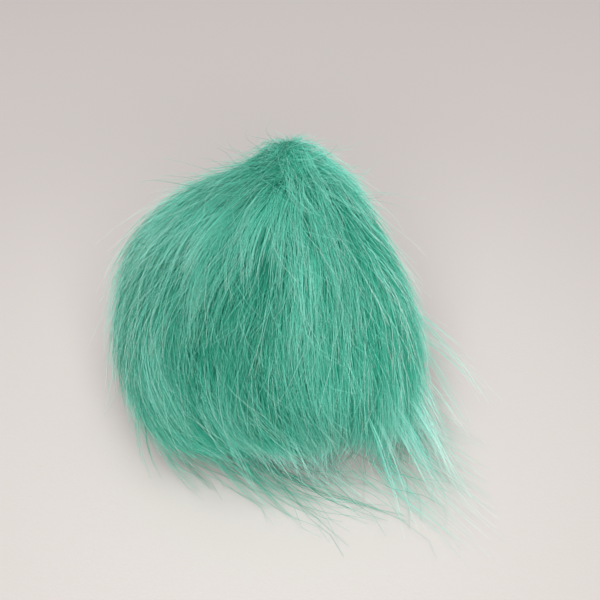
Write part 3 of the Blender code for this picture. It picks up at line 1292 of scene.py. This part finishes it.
TABLE_TUFTS = (
    TableTufts(
        name="pointed_tufts",
        locks=1300,
        sides=(-180, -156, -146, -118, -106, -98, 20, 60, 180),
        kept=(0.0, 0.0, 0.34, 0.34, 0.14, 0.0, 0.0, 0.10, 0.0),
        sizes=FibreSizes(
            fibres=13, points=6, root_spread=0.0034, tip_spread=0.0009, fluff=0.0030,
            shortest=0.40, root_width=0.00014, seed=50,
        ),
        low=-0.48,
        high=0.02,
        longer=(0.66, 1.02),
        slopes=(0.35, 0.75),
        wander=0.18,
        lean=-0.42,
        tones=(0.10, 0.80),
    ),
    TableTufts(
        name="swept_fan",
        locks=2600,
        sides=(-180, -66, -46, -36, -16, -2, 20, 40, 180),
        kept=(0.0, 0.0, 0.04, 0.40, 0.80, 0.70, 0.26, 0.0, 0.0),
        sizes=FibreSizes(
            fibres=10, points=6, root_spread=0.0036, tip_spread=0.0064, fluff=0.0044,
            shortest=0.42, root_width=0.00012, tip_width=0.00005, tone_spread=0.30, seed=51,
        ),
        low=-0.60,
        high=0.02,
        longer=(0.38, 0.90),
        slopes=(0.66, 1.90),
        wander=0.26,
        lean=0.16,
        tones=(0.0, 1.0),
        pale=True,
        seed=6,
    ),
    TableTufts(
        name="front_fringe",
        locks=3000,
        sides=(-180, -124, -104, -60, -35, 180),
        kept=(0.0, 0.0, 0.50, 0.60, 0.0, 0.0),
        sizes=FibreSizes(
            fibres=5, points=6, root_spread=0.0040, tip_spread=0.0060, fluff=0.0030,
            shortest=0.40, root_width=0.00013, tip_width=0.00005, seed=52,
        ),
        low=-0.42,
        high=-0.05,
        longer=(0.60, 0.95),
        slopes=(0.16, 0.46),
        wander=0.26,
        lean=-0.30,
        tones=(0.10, 1.0),
        pale=True,
        seed=7,
    ),
)


@dataclass(frozen=True)
class LooseFibres(LoosePiece):
    """Single fine fibres of one kind: how many, where their roots are, and how they grow.

    heights are the least and most height of the roots, as shares of the ball's radius, and
    off_crown is how far from the crown they reach, in radians.
    """

    name: str
    count: int
    heights: tuple[float, float]
    lengths: tuple[float, float]
    slopes: tuple[float, float]
    frizz: float
    width: float
    off_crown: float = math.pi
    points: int = 5
    turn: float = math.radians(16)
    curl: float = math.radians(30)
    lie: float = 0.0008
    sides: tuple[float, ...] = (-180, 180)
    kept: tuple[float, ...] = (1.0, 1.0)
    tones: tuple[float, float] = (0.5, 1.0)
    pale: bool = False
    lean: float = 0.0
    seed: int = 90
    jitter: float = 0.03
    slope_shape: tuple[float, float] = (1.3, 2.5)

    def plan(self, pile: PileField) -> LockPlan:
        """The fibres' roots and how each grows.

        Args:
            pile: The ball that they grow on.

        Returns:
            The plan.
        """
        dice = np.random.default_rng(SEED + self.seed)
        ways = even_ways(self.count)
        ways = unit(ways + dice.normal(0.0, self.jitter, ways.shape))
        kept = np.interp(sides_of(ways), self.sides, self.kept)
        chosen = (ways[:, 2] > self.heights[0]) & (ways[:, 2] < self.heights[1])
        chosen &= pile.off_crown(ways) < self.off_crown
        chosen &= dice.uniform(0.0, 1.0, len(ways)) < kept
        ways = ways[chosen]
        count = len(ways)
        low, high = self.slopes
        return LockPlan(
            ways=ways, length=dice.uniform(*self.lengths, count),
            slope=low + (high - low) * dice.beta(*self.slope_shape, count),
            turn=self.lean + dice.normal(0.0, self.turn, count),
            curl=dice.normal(0.0, self.curl, count), lie=np.full(count, self.lie),
            lift=np.zeros(count), tone=dice.uniform(*self.tones, count),
        )

    @property
    def sizes(self) -> FibreSizes:
        """The sizes of one fibre along each line."""
        return FibreSizes(
            fibres=1, points=self.points, root_spread=0.0, tip_spread=0.0, fluff=0.0,
            frizz=self.frizz, shortest=0.6, root_width=self.width, tip_width=0.3 * self.width,
            tone_spread=0.2, seed=self.seed,
        )


LOOSE_FIBRES = (
    LooseFibres(
        name="stray_fibres", count=2100, heights=(-0.25, 1.0), lengths=(0.020, 0.042),
        slopes=(0.12, 0.55), frizz=0.0009, width=0.00013, points=6, turn=math.radians(11),
        curl=math.radians(18), sides=(-180, -150, -110, -60, -20, 60, 180),
        kept=(0.9, 0.7, 0.3, 0.3, 1.0, 1.0, 0.7), pale=True,
    ),
    LooseFibres(
        name="soft_fuzz", count=6400, heights=(-0.35, 1.0), lengths=(0.014, 0.028),
        slopes=(0.14, 0.50), frizz=0.0006, width=0.00012, points=4, turn=math.radians(12),
        seed=91,
    ),
    LooseFibres(
        name="crown_fluff", count=16000, heights=(0.0, 1.0), lengths=(0.006, 0.014),
        slopes=(0.20, 0.85), frizz=0.0008, width=0.00012, off_crown=math.radians(24),
        turn=math.radians(22), seed=92,
    ),
    LooseFibres(
        name="crown_brush", count=90000, heights=(0.0, 1.0), lengths=(0.004, 0.009),
        slopes=(0.15, 0.80), frizz=0.0004, width=0.00013, points=4, off_crown=math.radians(11),
        turn=math.radians(16), tones=(0.0, 0.40), pale=True, seed=94,
    ),
    LooseFibres(
        name="table_wisps", count=2200, heights=(-0.62, -0.10), lengths=(0.046, 0.076),
        slopes=(0.10, 0.30), frizz=0.0024, width=0.00023, points=8, lean=math.radians(-12),
        turn=math.radians(14), curl=math.radians(30),
        sides=(-180, -150, -116, -90, -60, -10, 20, 40, 90, 180),
        kept=(0.10, 0.20, 0.10, 0.05, 0.16, 0.40, 0.60, 0.30, 0.10, 0.10), tones=(0.0, 0.5),
        seed=93,
    ),
    LooseFibres(
        name="front_wisps", count=2600, heights=(-0.55, -0.10), lengths=(0.052, 0.080),
        slopes=(0.20, 0.55), frizz=0.0020, width=0.00023, points=9, lean=math.radians(-38),
        turn=math.radians(12), curl=math.radians(20), sides=(-180, -142, -128, -96, -80, 180),
        kept=(0.0, 0.0, 0.70, 0.70, 0.0, 0.0), tones=(0.0, 0.4), seed=96,
    ),
    LooseFibres(
        name="crown_wisps", count=1500, heights=(0.3, 1.0), lengths=(0.014, 0.026),
        slopes=(0.35, 1.30), frizz=0.0012, width=0.00013, points=7, off_crown=math.radians(32),
        turn=math.radians(26), tones=(0.0, 0.6), seed=95,
    ),
)


@dataclass(frozen=True)
class PomPom:
    """The whole pom pom."""

    pile: PileField = field(default_factory=PileField)

    def build(self) -> list[bpy.types.Object]:
        """Builds every piece and sets it on the pom pom's body.

        Returns:
            The pieces, the undercoat first.
        """
        comb = LockComb(self.pile)
        tree = FibreTree()
        fur = PileFinish().material()
        undercoat = Undercoat(self.pile).build()
        report(undercoat)
        pieces = LongPile(self.pile, comb, tree, fur).build()
        # Pieces marked pale take the paler finish, whose paleness is painted light.
        pale = PAINTED_PALE_FINISH.material()
        for loose in (*TABLE_TUFTS, *LOOSE_FIBRES):
            pieces.append(loose.build(self.pile, comb, tree, pale if loose.pale else fur))
        for piece in pieces:
            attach(piece, BODY)
            report(piece)
        return [undercoat, *pieces]


@dataclass(frozen=True)
class PaperFinish:
    """The matt white paper that the pom pom lies on, with painted light: a little paler far
    off, to make up for the less light that falls there, and paler close under the fur,
    where a painted light fills in the fur's shadow."""

    name: str = "white_paper"
    # far is paler than near, a painted light for the less light far off.
    near: Colour = (0.494, 0.468, 0.456)
    far: Colour = (0.596, 0.558, 0.552)
    close: float = 0.045
    away: float = 0.200
    lighter: float = 0.16
    near_y: float = -0.10
    far_y: float = 0.35
    roughness: float = 0.85
    grain: float = 900.0
    grain_depth: float = 0.00004

    def material(self) -> bpy.types.Material:
        """The finish as a material with a faint grain and its painted light."""
        paper, bench, shader = new_surface(self.name)
        shader.inputs["Roughness"].default_value = self.roughness
        spot = bench.add("ShaderNodeTexCoord").outputs["Object"]
        parts = bench.add("ShaderNodeSeparateXYZ", None, Vector=spot)
        share = bench.add(
            "ShaderNodeMapRange", {"interpolation_type": "SMOOTHSTEP"}, Value=parts.outputs[1],
            From_Min=self.near_y, From_Max=self.far_y,
        )
        colour = PileFinish.ramp(bench, share.outputs[0], ((0.0, self.near), (1.0, self.far)))
        apart = bench.add("ShaderNodeVectorMath", {"operation": "LENGTH"}, Vector=spot)
        # Close under the fur the colour is raised, a painted light that fills in the shadow.
        under = bench.add(
            "ShaderNodeMapRange", {"interpolation_type": "SMOOTHSTEP"},
            Value=apart.outputs["Value"], From_Min=self.away, From_Max=self.close, To_Min=1.0,
            To_Max=1.0 + self.lighter,
        )
        lit = bench.vectors("SCALE", Vector=colour, Scale=under.outputs[0])
        bench.put(shader.inputs["Base Color"], lit)
        grain = bench.add("ShaderNodeTexNoise", None, Vector=spot, Scale=self.grain, Detail=2.0)
        relief = bench.add(
            "ShaderNodeBump", None, Height=grain.outputs[0], Distance=self.grain_depth
        )
        bench.put(shader.inputs["Normal"], relief.outputs[0])
        return paper


@dataclass(frozen=True)
class Studio:
    """A pale table, soft light from above, and the camera that looks down on the pom pom.

    Each of the lights has a name, a place, the length of its sides and its power in watts.
    """

    paper: PaperFinish = field(default_factory=PaperFinish)
    table_side: float = 6.0
    world: Colour = (1.0, 0.985, 0.965)
    world_strength: float = 0.34
    eye: Colour = (0.0097, -0.3426, 0.3347)
    aim: Colour = (0.0097, 0.0021, 0.0455)
    lens: float = 83.7
    lights: tuple[tuple[str, Colour, float, float], ...] = (
        ("key_light", (0.02, -0.92, 0.80), 0.85, 17.4),
        ("top_light", (0.0, -0.30, 0.92), 0.60, 3.6),
    )

    def build(self) -> None:
        """Makes the table, the lights and the camera."""
        self.lay_table()
        self.light_world()
        for light in self.lights:
            self.hang_light(*light)
        self.place_camera()
        bpy.context.scene.view_settings.view_transform = "Standard"

    def lay_table(self) -> None:
        """A wide flat table top at floor level."""
        half = self.table_side / 2.0
        mesh = bpy.data.meshes.new("table_top")
        corners = [(-half, -half, 0.0), (half, -half, 0.0), (half, half, 0.0), (-half, half, 0.0)]
        mesh.from_pydata(corners, [], [(0, 1, 2, 3)])
        mesh.materials.append(self.paper.material())
        placed("table_top", mesh)

    def light_world(self) -> None:
        """An even, faintly warm light from all round."""
        world = bpy.data.worlds.new("soft_room")
        world.use_nodes = True
        sky = world.node_tree.nodes["Background"]
        sky.inputs["Color"].default_value = (*self.world, 1.0)
        sky.inputs["Strength"].default_value = self.world_strength
        bpy.context.scene.world = world

    def hang_light(self, name: str, place: Colour, side: float, power: float) -> None:
        """A square soft light that faces the pom pom.

        Args:
            name: The light's name.
            place: Where it hangs.
            side: The length of its sides.
            power: Its power in watts.
        """
        lamp = bpy.data.lights.new(name, "AREA")
        lamp.shape = "SQUARE"
        lamp.size = side
        lamp.energy = power
        lamp.color = self.world
        self.aimed(placed(name, lamp), place)

    def place_camera(self) -> None:
        """The camera, at the photograph's viewing angle."""
        lens = bpy.data.cameras.new("camera")
        lens.lens = self.lens
        lens.sensor_width = 36.0
        lens.clip_start = 0.01
        lens.clip_end = 50.0
        camera = placed("camera", lens)
        self.aimed(camera, self.eye)
        bpy.context.scene.camera = camera

    def aimed(self, thing: bpy.types.Object, place: Colour) -> None:
        """Puts a light or the camera in its place, facing the pom pom."""
        away = Vector(self.aim) - Vector(place)
        thing.location = place
        thing.rotation_euler = away.to_track_quat("-Z", "Y").to_euler()


def report(piece: bpy.types.Object) -> None:
    """Logs a piece's name and its number of triangles."""
    triangles = sum(len(face.vertices) - 2 for face in piece.data.polygons)
    LOG.info("%s: %d triangles", piece.name, triangles)


def main() -> None:
    """Builds the studio and the pom pom, and writes their size."""
    logging.basicConfig(level=logging.INFO, format="%(name)s: %(message)s")
    Studio().build()
    pieces = PomPom().build()
    LOG.info("%d pieces", len(pieces))


if __name__ == "__main__":
    main()
